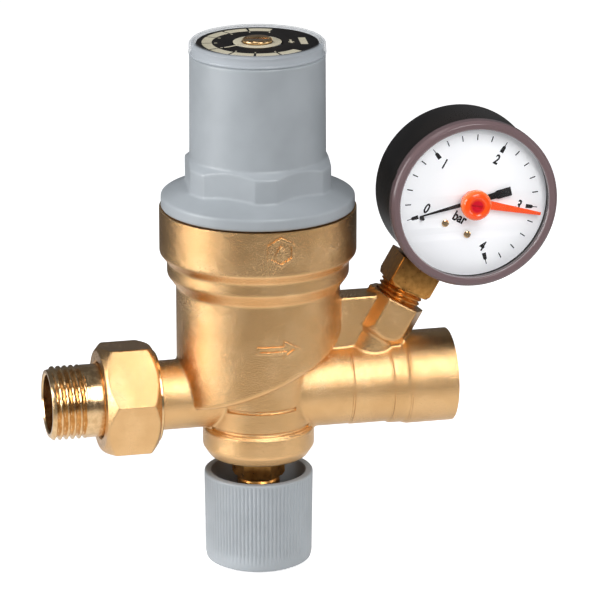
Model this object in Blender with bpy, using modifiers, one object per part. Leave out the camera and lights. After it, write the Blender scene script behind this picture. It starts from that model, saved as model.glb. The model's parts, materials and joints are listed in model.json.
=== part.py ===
"""Pressure reducing valve with shut-off cock and pressure gauge, as separate solids.

The frame: the origin is where the axis of the pipe run (X, inlet at -X, outlet at +X)
crosses the upright axis of the valve (Z).  The gauge faces -Y.  Sizes below are in
millimetres and are scaled to metres where the shapes are made.
"""
import math

import bmesh
import bpy
from mathutils import Euler, Matrix, Vector

MM = 0.001
GAP = 0.3                      # clearance between neighbouring pieces
MERGE = 0.00001                # merge distance of turned shapes, metres

# pipe run
INLET_FACE_X = -61.0           # end face of the union tailpiece
OUTLET_FACE_X = 55.7           # end face of the outlet socket
THREAD_HALF_R = 10.48          # G 1/2 male thread, outer radius
PIPE_BORE_R = 8.2
SPIGOT_R = 9.9
SPIGOT_END_X = -41.0
UNION_THREAD_R = 13.1
NUT_FLATS = 30.0
BARREL_R = 13.3

# upright body
RIM_R = 27.8
RIM_Z = 54.0
SHELL_R = 23.2
SHELL_CUT_Z = 6.4              # height of the slanted lower edge on the upright axis
SHELL_CUT_SLOPE = 0.41         # rise of that edge towards the outlet
NECK_R = 15.2
BODY_BOTTOM_Z = -19.2
CHAMBER_R = 19.5
CARTRIDGE_BORE_R = 12.6
SHOULDER_Z = 26.0
PARTITION_Z = (6.0, 8.0)

# spring cover and its setting screw
COVER_R = 19.0
COVER_TOP_Z = 99.95
COVER_FLANGE_R = 27.3
COVER_HEX_FLATS = 39.6
LID_TOP_Z = 102.0
SCREW_SLOT_TURN = -13.4
POINTER_TURN = 202.0
SPRING_PLATE_Z = (84.0, 87.5)

# shut-off knob
KNOB_R = 15.5
KNOB_TOP_Z = -24.3
KNOB_BOTTOM_Z = -51.0

# gauge, in a local frame whose +Z is the way the dial faces
GAUGE_CENTRE = (58.5, 0.0, 55.3)
STEM_TILT = 30.0               # the stem leans this far from upright, towards the outlet
BOSS_TOP = 36.0                # distance from the gauge axis to the boss on the body
GAUGE_R = 23.4
DIAL_Z = 13.8                  # front of the dial
NEEDLE_Z = (14.6, 14.9)
LIMIT_ARM_Z = (15.2, 15.5)
NEEDLE_ANGLE = 192.3
LIMIT_ANGLE = 346.6
TUBE_R = 16.2                  # Bourdon tube's centre line
TUBE_START = 21.5              # its angles are counted from the stem's way
TUBE_SWEEP = 250.0
TIP_ANGLE = 256.0
GEAR_MODULE = 0.6
PINION_TEETH = 8
SECTOR_TEETH = 40
SECTOR_SWING = 54.4
TAIL_R = 4.5                   # sector pivot to its tail pin
TOWARDS_STEM = 270.0 - STEM_TILT

FACE_FRONT = (90.0, 0.0, 0.0)  # turns local +Z to world -Y
ALONG_X = (0.0, 90.0, 0.0)     # turns local +Z to world +X
ALONG_STEM = (0.0, STEM_TILT, 0.0)

BRASS = ("cast_brass", (0.72, 0.50, 0.26), 0.38, 1.0)
DARK_BRASS = ("turned_brass", (0.55, 0.31, 0.10), 0.30, 1.0)
STEEL = ("stainless_steel", (0.62, 0.62, 0.60), 0.28, 1.0)
SPRING_STEEL = ("spring_steel", (0.42, 0.43, 0.45), 0.32, 1.0)
RUBBER = ("black_rubber", (0.03, 0.03, 0.03), 0.75, 0.0)
FIBRE = ("fibre_gasket", (0.30, 0.09, 0.06), 0.85, 0.0)
GREY_PLASTIC = ("grey_plastic", (0.36, 0.39, 0.43), 0.45, 0.0)
BLACK_PLASTIC = ("black_plastic", (0.02, 0.02, 0.02), 0.25, 0.0)
WHITE_ACETAL = ("white_acetal", (0.80, 0.80, 0.76), 0.40, 0.0)
CLEAR = ("clear_plastic", (0.90, 0.92, 0.93), 0.05, 0.0)
DIAL_WHITE = ("dial_white", (0.90, 0.90, 0.90), 0.35, 0.0)
LABEL_BLACK = ("label_black", (0.03, 0.03, 0.03), 0.40, 0.0)
CREAM = ("cream_plastic", (0.78, 0.72, 0.55), 0.45, 0.0)
ORANGE = ("orange_plastic", (0.90, 0.16, 0.03), 0.20, 0.0)
NEEDLE_BLACK = ("needle_black", (0.02, 0.02, 0.02), 0.35, 0.0)


def clear_scene():
    for obj in list(bpy.data.objects):
        bpy.data.objects.remove(obj, do_unlink=True)


def make_collection(name):
    collection = bpy.data.collections.new(name)
    bpy.context.scene.collection.children.link(collection)
    return collection


def material(spec):
    name, colour, roughness, metallic = spec
    mat = bpy.data.materials.get(name)
    if mat is None:
        mat = bpy.data.materials.new(name)
        mat.use_nodes = True
        mat.diffuse_color = (*colour, 1.0)
        shader = mat.node_tree.nodes["Principled BSDF"]
        shader.inputs["Base Color"].default_value = (*colour, 1.0)
        shader.inputs["Roughness"].default_value = roughness
        shader.inputs["Metallic"].default_value = metallic
    return mat


def metres(values):
    return tuple(v * MM for v in values)


def put(name, mesh, spec, at=(0, 0, 0), turn=(0, 0, 0)):
    """Links one object: a part when it has a material, a hidden cutter when it has none."""
    obj = bpy.data.objects.new(name, mesh)
    obj.location = metres(at)
    obj.rotation_euler = Euler([math.radians(a) for a in turn])
    if spec is None:
        obj.hide_render = True
        obj.display_type = "WIRE"
        CUTTERS.objects.link(obj)
    else:
        mesh.materials.append(material(spec))
        PARTS.objects.link(obj)
    return obj


def turned(name, spec, profile, steps=48, at=(0, 0, 0), turn=(0, 0, 0)):
    """A shape turned about local Z; a profile that keeps off the axis is a closed ring."""
    mesh = bpy.data.meshes.new(name)
    verts = [(r * MM, 0.0, z * MM) for r, z in profile]
    edges = [(i, i + 1) for i in range(len(verts) - 1)]
    if profile[0][0] > 0:
        edges.append((len(verts) - 1, 0))
    mesh.from_pydata(verts, edges, [])
    obj = put(name, mesh, spec, at, turn)
    screw = obj.modifiers.new("Turn", "SCREW")
    screw.axis = "Z"
    screw.steps = steps
    screw.render_steps = steps
    screw.use_merge_vertices = True
    screw.merge_threshold = MERGE
    screw.use_smooth_shade = False
    return obj


def box(name, spec, low, high, at=(0, 0, 0), turn=(0, 0, 0)):
    mesh = bpy.data.meshes.new(name)
    bm = bmesh.new()
    bmesh.ops.create_cube(bm, size=1.0)
    size = [(h - l) * MM for l, h in zip(low, high)]
    middle = [(h + l) / 2 * MM for l, h in zip(low, high)]
    bmesh.ops.scale(bm, verts=bm.verts, vec=size)
    bmesh.ops.translate(bm, verts=bm.verts, vec=middle)
    bm.to_mesh(mesh)
    bm.free()
    return put(name, mesh, spec, at, turn)


def prism(name, spec, sides, flats, z_low, z_high, twist=0.0, at=(0, 0, 0), turn=(0, 0, 0)):
    """A regular prism along local Z, given by its size across flats."""
    mesh = bpy.data.meshes.new(name)
    radius = flats / 2 / math.cos(math.pi / sides) * MM
    bm = bmesh.new()
    bmesh.ops.create_cone(bm, cap_ends=True, segments=sides, radius1=radius, radius2=radius,
                          depth=(z_high - z_low) * MM)
    # the twist is counted from +X to a corner
    bmesh.ops.rotate(bm, verts=bm.verts, matrix=Matrix.Rotation(math.radians(twist - 90), 3, "Z"))
    bmesh.ops.translate(bm, verts=bm.verts, vec=(0, 0, (z_low + z_high) / 2 * MM))
    bm.to_mesh(mesh)
    bm.free()
    return put(name, mesh, spec, at, turn)


def rod(name, spec, radius, z_low, z_high, steps=24, at=(0, 0, 0), turn=(0, 0, 0)):
    profile = [(0, z_high), (radius, z_high), (radius, z_low), (0, z_low)]
    return turned(name, spec, profile, steps, at, turn)


def join(obj, operation, others):
    """Adds one Boolean modifier for each of the other shapes."""
    for other in others:
        modifier = obj.modifiers.new(operation.title(), "BOOLEAN")
        modifier.operation = operation
        modifier.object = other
    return obj


def cut(obj, *others):
    return join(obj, "DIFFERENCE", others)


def add(obj, *others):
    return join(obj, "UNION", others)


def keep(obj, *others):
    return join(obj, "INTERSECT", others)


def circle(radius, centre=(0.0, 0.0), count=16):
    return [(centre[0] + radius * math.cos(2 * math.pi * i / count),
             centre[1] + radius * math.sin(2 * math.pi * i / count)) for i in range(count)]


def plate(name, spec, outlines, z_low, z_high, at=(0, 0, 0), turn=(0, 0, 0)):
    """A flat piece: the first outline is its edge, the others are holes through it."""
    curve = bpy.data.curves.new(name, "CURVE")
    curve.dimensions = "2D"
    curve.fill_mode = "BOTH"
    curve.extrude = (z_high - z_low) / 2 * MM
    for outline in outlines:
        spline = curve.splines.new("POLY")
        spline.points.add(len(outline) - 1)
        spline.use_cyclic_u = True
        for point, (x, y) in zip(spline.points, outline):
            point.co = (x * MM, y * MM, 0.0, 1.0)
    rotation = Euler([math.radians(a) for a in turn])
    lift = rotation.to_matrix() @ Vector((0, 0, (z_low + z_high) / 2))
    return put(name, curve, spec, tuple(Vector(at) + lift), turn)


def as_mesh(obj):
    """The same shape as a closed mesh, so that it can be cut or joined."""
    bpy.context.view_layer.update()
    evaluated = obj.evaluated_get(bpy.context.evaluated_depsgraph_get())
    mesh = bpy.data.meshes.new_from_object(evaluated)
    bm = bmesh.new()
    bm.from_mesh(mesh)
    bmesh.ops.remove_doubles(bm, verts=bm.verts, dist=MERGE)
    bm.to_mesh(mesh)
    bm.free()
    solid = bpy.data.objects.new(obj.name + "_mesh", mesh)
    solid.matrix_world = obj.matrix_world
    solid.hide_render = obj.hide_render
    solid.display_type = obj.display_type
    obj.users_collection[0].objects.link(solid)
    name = obj.name
    bpy.data.objects.remove(obj, do_unlink=True)
    solid.name = name
    return solid


def wire(name, spec, points, radius, resolution=2, at=(0, 0, 0), turn=(0, 0, 0)):
    """A round wire or tube along a list of points."""
    curve = bpy.data.curves.new(name, "CURVE")
    curve.dimensions = "3D"
    curve.bevel_depth = radius * MM
    curve.bevel_resolution = resolution
    curve.use_fill_caps = True
    spline = curve.splines.new("POLY")
    spline.points.add(len(points) - 1)
    for point, position in zip(spline.points, points):
        point.co = (*metres(position), 1.0)
    return put(name, curve, spec, at, turn)


def helix(radius, z_low, z_high, coils, per_turn=12):
    """A spring's centre line: closed flat end coils and an even pitch between them."""
    points = []
    total = coils * per_turn
    for i in range(total + 1):
        angle = 2 * math.pi * i / per_turn
        share = min(max((i / total - 0.06) / 0.88, 0.0), 1.0)
        points.append((radius * math.cos(angle), radius * math.sin(angle),
                       z_low + (z_high - z_low) * share))
    return points


def along(distance, side=0.0):
    """A point of the gauge's own XY plane, measured from its centre towards the stem."""
    down = math.radians(TOWARDS_STEM)
    return (distance * math.cos(down) - side * math.sin(down),
            distance * math.sin(down) + side * math.cos(down))


def polar(radius, degrees, centre=(0.0, 0.0)):
    angle = math.radians(degrees)
    return (centre[0] + radius * math.cos(angle), centre[1] + radius * math.sin(angle))


# ---- valve body -------------------------------------------------------------------------

def valve_body():
    """Cast body: upright shell with a slanted lower edge, neck, inlet, outlet and gauge boss."""
    body = turned("valve_body", BRASS, [
        (0, RIM_Z), (RIM_R, RIM_Z), (RIM_R, 41), (25.7, 38.5), (25.7, 35),
        (SHELL_R, 31), (SHELL_R, -14), (0, -14)], 28)
    slant = math.degrees(math.atan(SHELL_CUT_SLOPE))
    under = box("cut_under", None, (-40, -30, -40), (40, 30, 0), (0, 0, SHELL_CUT_Z), (0, -slant, 0))
    neck = turned("add_neck", None, [
        (0, 9), (NECK_R, 9), (NECK_R, -10), (15.9, -10.6), (15.9, -16), (13.9, BODY_BOTTOM_Z),
        (0, BODY_BOTTOM_Z)], 24)
    spigot = turned("add_inlet", None, [
        (0, -11), (SPIGOT_R, -11), (SPIGOT_R, -29.6), (UNION_THREAD_R, -29.6),
        (UNION_THREAD_R, -40.6), (12.7, SPIGOT_END_X), (0, SPIGOT_END_X)], 20, turn=ALONG_X)
    barrel = turned("add_outlet", None, [
        (0, OUTLET_FACE_X), (12.7, OUTLET_FACE_X), (BARREL_R, 55.1), (BARREL_R, 41.5), (12.8, 41.2),
        (12.8, 37), (12.3, 36.6), (12.3, 11), (0, 11)], 20, turn=ALONG_X)
    bridge = box("add_bridge", None, (12.3, -4.2, 0.5), (34, 4.2, 26.3))
    cut(body, under)
    add(body, neck, spigot, barrel, bridge, gauge_boss())
    cut(body, upright_cavity(), *pipe_bores(), *outlet_passage(), *gauge_bores())
    return body


def boss_place():
    lean = math.radians(STEM_TILT)
    return (GAUGE_CENTRE[0] - BOSS_TOP * math.sin(lean), 0.0,
            GAUGE_CENTRE[2] - BOSS_TOP * math.cos(lean))


def gauge_boss():
    """Hexagonal boss that the gauge screws into, with a conical underside."""
    form = turned("add_boss", None, [
        (0, 0), (9.1, 0), (9.1, -8.2), (8.3, -10.6), (7.1, -12.1), (7.0, -19), (0, -19)], 16,
        at=boss_place(), turn=ALONG_STEM)
    hexagon = prism("keep_boss_hexagon", None, 6, 15.8, -21, 1, 0.0, boss_place(), ALONG_STEM)
    return keep(form, hexagon)


def upright_cavity():
    """Diaphragm seat, regulated chamber, cartridge bore, cock seat, cock chamber, gland bore."""
    return turned("cut_upright", None, [
        (0, 56), (24.5, 56), (24.5, 46), (CHAMBER_R, 46), (CHAMBER_R, SHOULDER_Z),
        (CARTRIDGE_BORE_R, SHOULDER_Z), (CARTRIDGE_BORE_R, PARTITION_Z[1]), (7, PARTITION_Z[1]),
        (7, PARTITION_Z[0]), (12, PARTITION_Z[0]), (12, -14), (6.9, -14), (6.9, -21), (0, -21)], 24)


def pipe_bores():
    inlet = turned("cut_inlet", None, [
        (0, -9), (6, -9), (6, -33), (PIPE_BORE_R, -35), (PIPE_BORE_R, -42), (0, -42)], 16, turn=ALONG_X)
    outlet = turned("cut_outlet", None, [
        (0, 57), (9.6, 57), (9.6, 43), (8.9, 43), (8.9, 22.5), (0, 22.5)], 16, turn=ALONG_X)
    return inlet, outlet


def outlet_passage():
    """Cast way from the regulated chamber, through the bridge, down to the outlet bore."""
    return (box("cut_passage_top", None, (14.7, -3.0, 15.9), (20.1, 3.0, 27)),
            box("cut_passage_across", None, (14.9, -2.8, 16.1), (27.5, 2.8, 21.9)),
            box("cut_passage_down", None, (22.7, -2.6, -3), (27.3, 2.6, 21.3)))


def gauge_bores():
    thread = rod("cut_gauge_thread", None, 6.5, -10.3, 2, 16, boss_place(), ALONG_STEM)
    port = rod("cut_gauge_port", None, 1.5, -21.5, -9, 12, boss_place(), ALONG_STEM)
    return thread, port


# ---- inlet union ------------------------------------------------------------------------

def union_nut():
    nut = prism("union_nut", BRASS, 6, NUT_FLATS, -46.3, -30.8, 21.0, turn=ALONG_X)
    form = turned("keep_nut_form", None, [
        (0, -30.8), (14.4, -30.8), (17.5, -33.4), (17.5, -43.4), (14.2, -46.3), (0, -46.3)], 16,
        turn=ALONG_X)
    bore = turned("cut_nut_bore", None, [
        (0, -30), (UNION_THREAD_R + GAP, -30), (UNION_THREAD_R + GAP, -44.3),
        (THREAD_HALF_R + GAP, -44.3), (THREAD_HALF_R + GAP, -47), (0, -47)], 16, turn=ALONG_X)
    keep(nut, form)
    return cut(nut, bore)


def union_tailpiece():
    return turned("union_tailpiece", BRASS, [
        (PIPE_BORE_R, -42.9), (12.9, -42.9), (12.9, -44.0), (THREAD_HALF_R, -44.0),
        (THREAD_HALF_R, -59.8), (9.4, INLET_FACE_X), (PIPE_BORE_R, INLET_FACE_X)], 20, turn=ALONG_X)


def union_gasket():
    return turned("union_gasket", FIBRE, [
        (8.5, -41.3), (12.6, -41.3), (12.6, -42.6), (8.5, -42.6)], 16, turn=ALONG_X)


# ---- spring cover, setting screw and spring ---------------------------------------------

def spring_cover():
    """Grey cover: threaded skirt, flange, hexagon for the spanner and long cylinder."""
    cover = turned("spring_cover", GREY_PLASTIC, [
        (4.4, COVER_TOP_Z), (18.1, COVER_TOP_Z), (18.1, 96.2), (COVER_R, 96.2), (19.2, 64),
        (19.3, 62), (20.8, 61.4), (COVER_FLANGE_R, 57.8), (COVER_FLANGE_R, RIM_Z + GAP),
        (24.2, RIM_Z + GAP), (24.2, 48.6), (20.0, 48.6), (20.0, 56), (16.6, 60), (16.6, 95.5),
        (4.4, 95.5)], 28)
    hexagon = prism("add_cover_hexagon", None, 6, COVER_HEX_FLATS, 58.0, 68.2, 23.6)
    form = turned("keep_hexagon_form", None, [
        (0, 69), (19.9, 68.4), (21.3, 67.0), (21.3, 57), (0, 57)], 24)
    hollow = rod("cut_hexagon_hollow", None, 17.6, 56, 70, 24)
    keep(hexagon, form)
    cut(hexagon, hollow)
    add(cover, hexagon)
    ribs = [box(f"add_guide_rib_{side}", None, (side * 15.6 - 1.4, -1.2, 70),
                (side * 15.6 + 1.4, 1.2, 95.6)) for side in (-1, 1)]
    return add(cover, *ribs)


def clear_lid():
    return turned("clear_lid", CLEAR, [
        (5.5, LID_TOP_Z), (18.6, LID_TOP_Z), (19.1, 101.5), (19.1, 96.5), (18.4, 96.5),
        (18.4, 101.4), (5.5, 101.4)], 28)


def setting_scale():
    return turned("setting_scale", LABEL_BLACK, [
        (7.2, 100.65), (17.4, 100.65), (17.4, 100.25), (7.2, 100.25)], 24)


def setting_pointer():
    """Cream ring with a pointer arm that turns with the setting screw, over the scale."""
    tip = polar(11.0, 0.0)
    outline = circle(6.75, count=28)
    outline[0] = tip
    return plate("setting_pointer", CREAM, [outline, circle(4.4)], 100.95, 101.15,
                 turn=(0, 0, POINTER_TURN))


def setting_screw():
    """Brass screw with a slotted head, a thrust collar under the cover and a long thread."""
    screw = turned("setting_screw", DARK_BRASS, [
        (0, 102.5), (4.4, 102.5), (4.9, 102.1), (4.9, 101.45), (4.1, 101.45), (4.1, 95.2),
        (6.5, 95.2), (6.5, 93.7), (3.9, 93.7), (3.9, 72.4), (3.4, 72), (0, 72)], 12)
    slot = box("cut_setting_slot", None, (-6, -0.6, 101.7), (6, 0.6, 103), turn=(0, 0, SCREW_SLOT_TURN))
    return cut(screw, slot)


def spring_plate():
    """Threaded plate that runs on the setting screw; two notches ride on the cover's ribs."""
    low, high = SPRING_PLATE_Z
    disc = turned("spring_plate", STEEL, [
        (4.2, high), (16.3, high), (16.3, high - 1.8), (9.6, low + 0.2), (9.6, low - 3),
        (4.2, low - 3)], 20)
    notches = [box(f"cut_plate_notch_{side}", None, (side * 15.8 - 1.9, -1.6, low - 4),
                   (side * 15.8 + 1.9, 1.6, high + 1)) for side in (-1, 1)]
    return cut(disc, *notches)


def setting_spring():
    wire_r = 1.3
    points = helix(12.0, 47.6 + GAP + wire_r, SPRING_PLATE_Z[0] - wire_r, 6)
    return wire("setting_spring", SPRING_STEEL, points, wire_r, 1)


# ---- diaphragm and obturator (one moving group) -----------------------------------------

def diaphragm():
    return turned("diaphragm", RUBBER, [
        (2.3, 45.3), (14.6, 45.3), (19.8, 48.3), (24.2, 48.3), (24.2, 46.3), (19.2, 46.2),
        (14.9, 43.8), (2.3, 43.8)], 24)


def diaphragm_discs():
    upper = turned("diaphragm_upper_disc", STEEL, [
        (2.3, 49.6), (6, 49.6), (8, 47.6), (15.5, 47.6), (15.5, 46.5), (14.4, 45.6), (2.3, 45.6)], 20)
    lower = turned("diaphragm_lower_disc", STEEL, [
        (2.3, 43.5), (13.0, 43.5), (13.0, 42.4), (4.5, 41.4), (2.3, 41.4)], 20)
    return upper, lower


def diaphragm_nut():
    nut = prism("diaphragm_nut", STEEL, 6, 8.0, 49.9, 53.0)
    return cut(nut, rod("cut_diaphragm_nut", None, 2.3, 49, 54, 12))


def obturator():
    """Stem, sealing disc and balancing piston in one turned piece."""
    return turned("obturator", DARK_BRASS, [
        (0, 54.5), (1.6, 54.5), (2.0, 54.1), (2.0, 18.4), (6.0, 18.4), (6.0, 16.9), (4.4, 16.9),
        (4.4, 14.4), (3.2, 14.4), (3.2, 12.8), (4.4, 12.8), (4.4, 11.3), (0, 11.3)], 12)


def obturator_gasket():
    return turned("obturator_gasket", RUBBER, [
        (2.3, 19.6), (5.8, 19.6), (5.8, 18.7), (2.3, 18.7)], 12)


def ring_profile(centre_r, z, minor, count=6):
    """Round section of an O-ring, clockwise from its outermost point."""
    return [(centre_r + minor * math.cos(2 * math.pi * i / count),
             z - minor * math.sin(2 * math.pi * i / count)) for i in range(count)]


def o_rings():
    turned("piston_o_ring", RUBBER, ring_profile(3.95, 13.6, 0.42), 16)
    turned("cartridge_o_ring", RUBBER, ring_profile(11.6, 24.5, 0.68), 24)
    turned("gland_o_ring", RUBBER, ring_profile(3.95, -22.2, 0.55), 16)


# ---- removable cartridge ----------------------------------------------------------------

def cartridge_body():
    body = turned("cartridge_body", WHITE_ACETAL, [
        (5.2, 29.0), (14.3, 29.0), (14.3, 26.3), (12.3, 26.3), (12.3, 25.6), (10.6, 25.6),
        (10.6, 23.4), (12.3, 23.4), (12.3, 22.8), (9.0, 22.8), (9.0, 12.3), (10.6, 12.3),
        (10.6, 11.0), (7.4, 11.0), (7.4, 24.0), (5.2, 24.0)], 20)
    return cut(body, box("cut_windows_x", None, (-10, -3, 17.3), (10, 3, 21.6)),
               box("cut_windows_y", None, (-3.1, -10, 17.2), (3.1, 10, 21.7)))


def strainer():
    return turned("strainer", STEEL, [(9.3, 22.5), (10.1, 22.5), (10.1, 12.6), (9.3, 12.6)], 20)


def seat_ring():
    return turned("seat_ring", STEEL, [
        (4.4, 23.7), (7.1, 23.7), (7.1, 22.5), (5.2, 22.5), (4.9, 21.9), (4.4, 21.9)], 16)


def piston_sleeve():
    return turned("piston_sleeve", STEEL, [(4.7, 16.6), (7.1, 16.6), (7.1, 11.0), (4.7, 11.0)], 16)


# ---- check valve in the outlet ----------------------------------------------------------

def check_valve():
    turned("check_valve_housing", WHITE_ACETAL, [
        (7.0, 42.6), (8.6, 42.6), (8.6, 32.3), (4.6, 32.3), (4.6, 34.0), (7.0, 34.0)], 16, turn=ALONG_X)
    turned("check_valve_disc", WHITE_ACETAL, [
        (0, 44.0), (1.2, 44.0), (1.2, 36.4), (5.8, 36.4), (5.8, 35.2), (2.0, 35.2), (2.0, 33.5),
        (0, 33.5)], 12, turn=ALONG_X)
    turned("check_valve_gasket", RUBBER, [
        (2.3, 34.9), (5.6, 34.9), (5.6, 34.3), (2.3, 34.3)], 12, turn=ALONG_X)
    guide = turned("check_valve_guide", WHITE_ACETAL, [
        (1.5, 42.4), (6.7, 42.4), (6.7, 41.2), (1.5, 41.2)], 12, turn=ALONG_X)
    for index in range(3):
        window = rod(f"cut_guide_window_{index}", None, 1.6, 40, 44, 8,
                     (0, *polar(4.2, 90 + 120 * index)), ALONG_X)
        cut(guide, window)
    wire("check_valve_spring", SPRING_STEEL, helix(3.0, 36.4 + GAP + 0.35, 41.2 - GAP - 0.35, 4, 8),
         0.35, 0, turn=ALONG_X)


# ---- shut-off cock under the body -------------------------------------------------------

def shutoff_carrier():
    """Disc that closes the cock seat; its hexagonal shank slides in the gland nut."""
    carrier = turned("shutoff_carrier", DARK_BRASS, [
        (0, 1.9), (2.5, 1.9), (2.5, 0.6), (8.6, 0.6), (8.6, -1.0), (4.0, -1.8), (4.0, -2.6),
        (0, -2.6)], 16)
    add(carrier, prism("add_carrier_shank", None, 6, 8.6, -15.3, -1.4))
    return cut(carrier, rod("cut_carrier_thread", None, 2.9, -16, -2.4, 12))


def shutoff_gasket():
    return turned("shutoff_gasket", RUBBER, [(2.8, 1.9), (8.3, 1.9), (8.3, 0.9), (2.8, 0.9)], 16)


def shutoff_spindle():
    spindle = turned("shutoff_spindle", DARK_BRASS, [
        (0, -3.0), (2.2, -3.0), (2.6, -3.4), (2.6, -15.9), (4.2, -15.9), (4.2, -17.3), (3.0, -17.3),
        (3.0, -34), (0, -34)], 12)
    add(spindle, prism("add_spindle_square", None, 4, 4.6, -44.0, -33.0, 45.0))
    return cut(spindle, rod("cut_spindle_tapping", None, 1.7, -45, -38.6, 12))


def spindle_collar():
    return turned("spindle_collar", DARK_BRASS, [
        (3.3, -26.2), (5.7, -26.2), (6.1, -26.7), (6.1, -29.0), (3.3, -29.0)], 12)


def gland_nut():
    nut = prism("gland_nut", BRASS, 6, 13.0, -25.7, -20.6, -16.0)
    form = turned("keep_gland_form", None, [
        (0, -20.6), (7.3, -20.6), (7.6, -21.0), (7.6, -25.0), (6.9, -25.7), (0, -25.7)], 16)
    keep(nut, form)
    add(nut, rod("add_gland_shank", None, 6.6, -21.5, -9.5, 20))
    return cut(nut, prism("cut_gland_hexagon", None, 6, 9.3, -17.6, -9),
               turned("cut_gland_bore", None, [
                   (0, -17), (3.3, -17), (3.3, -21.3), (4.7, -21.3), (4.7, -23.1), (3.3, -23.1),
                   (3.3, -27), (0, -27)], 12))


def gland_washer():
    return turned("gland_washer", FIBRE, [(6.9, -19.5), (8.3, -19.5), (8.3, -20.3), (6.9, -20.3)], 16)


def control_knob():
    knob = turned("control_knob", GREY_PLASTIC, [
        (13.4, KNOB_TOP_Z), (KNOB_R, KNOB_TOP_Z), (15.2, -48), (14.7, -50), (13.3, KNOB_BOTTOM_Z),
        (4.3, KNOB_BOTTOM_Z), (4.3, -47.6), (1.8, -47.6), (1.8, -44.6), (2.2, -44.6),
        (2.2, -29.3), (6.6, -29.3), (6.9, -38), (13.2, -38)], 28)
    return cut(knob, prism("cut_knob_square", None, 4, 5.2, -44.7, -33.0, 45.0),
               rod("cut_knob_bore", None, 3.3, -34.3, -28, 12))


def knob_screw():
    screw = turned("knob_screw", STEEL, [
        (0, -39.4), (1.4, -39.4), (1.4, -47.9), (3.9, -47.9), (3.9, -49.6), (3.3, -50.2), (0, -50.2)], 12)
    return cut(screw, box("cut_knob_screw_slot", None, (-5, -0.5, -51), (5, 0.5, -49.5)))


# ---- gauge ------------------------------------------------------------------------------

def at_gauge(maker, name, spec, *rest, **more):
    return maker(name, spec, *rest, at=GAUGE_CENTRE, turn=FACE_FRONT, **more)


def gauge_case():
    case = at_gauge(turned, "gauge_case", BLACK_PLASTIC, [
        (0, -3.9), (22.0, -3.9), (22.0, 15.2), (GAUGE_R, 15.2), (GAUGE_R, -4.5), (22.4, -5.5),
        (0, -5.5)], 28)
    return cut(case, rod("cut_case_neck", None, 3.5, -25.5, -18.0, 16, GAUGE_CENTRE, ALONG_STEM))


def gauge_window():
    return at_gauge(turned, "gauge_window", CLEAR, [
        (1.6, 17.0), (23.2, 17.0), (24.2, 16.2), (24.2, 12.0), (23.7, 12.0), (23.7, 15.5),
        (23.3, 15.8), (1.6, 15.8)], 28)


def dial_screw_places():
    return [polar(9.75, TOWARDS_STEM + side * 22.3) for side in (-1, 1)]


def gauge_dial():
    stop = polar(15.0, NEEDLE_ANGLE + 3.4)
    holes = [circle(1.7, count=12), circle(0.8, stop, 8)]
    holes += [circle(1.0, place, 8) for place in dial_screw_places()]
    at_gauge(plate, "gauge_dial", DIAL_WHITE, [circle(21.7, count=32)] + holes, DIAL_Z - 0.6, DIAL_Z)
    pin = rod("gauge_stop_pin", NEEDLE_BLACK, 0.45, 12.5, 15.0, 8, GAUGE_CENTRE, FACE_FRONT)
    shift_local(pin, stop)
    for label, place in zip(("left", "right"), dial_screw_places()):
        screw = turned(f"dial_screw_{label}", DARK_BRASS, [
            (0, 14.3), (0.8, 14.3), (1.2, 14.2), (1.2, 14.0), (0.65, 14.0), (0.65, 10.9), (0, 10.9)],
            12, GAUGE_CENTRE, FACE_FRONT)
        shift_local(screw, place)


def shift_local(obj, place):
    """Moves an object of the gauge across the dial by a place in the gauge's own plane."""
    obj.location.x += place[0] * MM
    obj.location.z += place[1] * MM


def gauge_pointer():
    """Needle with a hub and a broad tail, on the pinion arbor."""
    hub = [polar(2.4, a) for a in range(20, 161, 20)]
    outline = [(15.6, 0.1), (3.2, 0.55)] + hub + [(-4.0, 0.9), (-11.4, 1.15)]
    outline += [(x, -y) for x, y in reversed(outline)]
    return plate("gauge_pointer", NEEDLE_BLACK, [outline, circle(1.2, count=12)], *NEEDLE_Z,
                 GAUGE_CENTRE, (90.0, -NEEDLE_ANGLE, 0.0))


def limit_pointer():
    """Settable mark: an arm inside the window and a round turning hub outside it."""
    turn = (90.0, -LIMIT_ANGLE, 0.0)
    arm = [(20.2, 0.35), (3.2, 1.25)] + [polar(3.6, a) for a in range(30, 181, 15)]
    arm += [(x, -y) for x, y in reversed(arm[:-1])]
    arm_plate = plate("add_limit_arm", None, [arm], *LIMIT_ARM_Z, GAUGE_CENTRE, turn)
    hub = turned("limit_pointer", ORANGE, [
        (0, 20.2), (2.6, 20.2), (3.7, 19.8), (4.2, 19.1), (4.2, 17.3), (1.25, 17.3),
        (1.25, 15.25), (0, 15.25)], 20, GAUGE_CENTRE, turn)
    add(hub, as_mesh(arm_plate))
    slot = box("cut_hub_slot", None, (-1.9, -0.35, 19.6), (1.9, 0.35, 21), GAUGE_CENTRE, turn)
    return cut(hub, slot)


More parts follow.
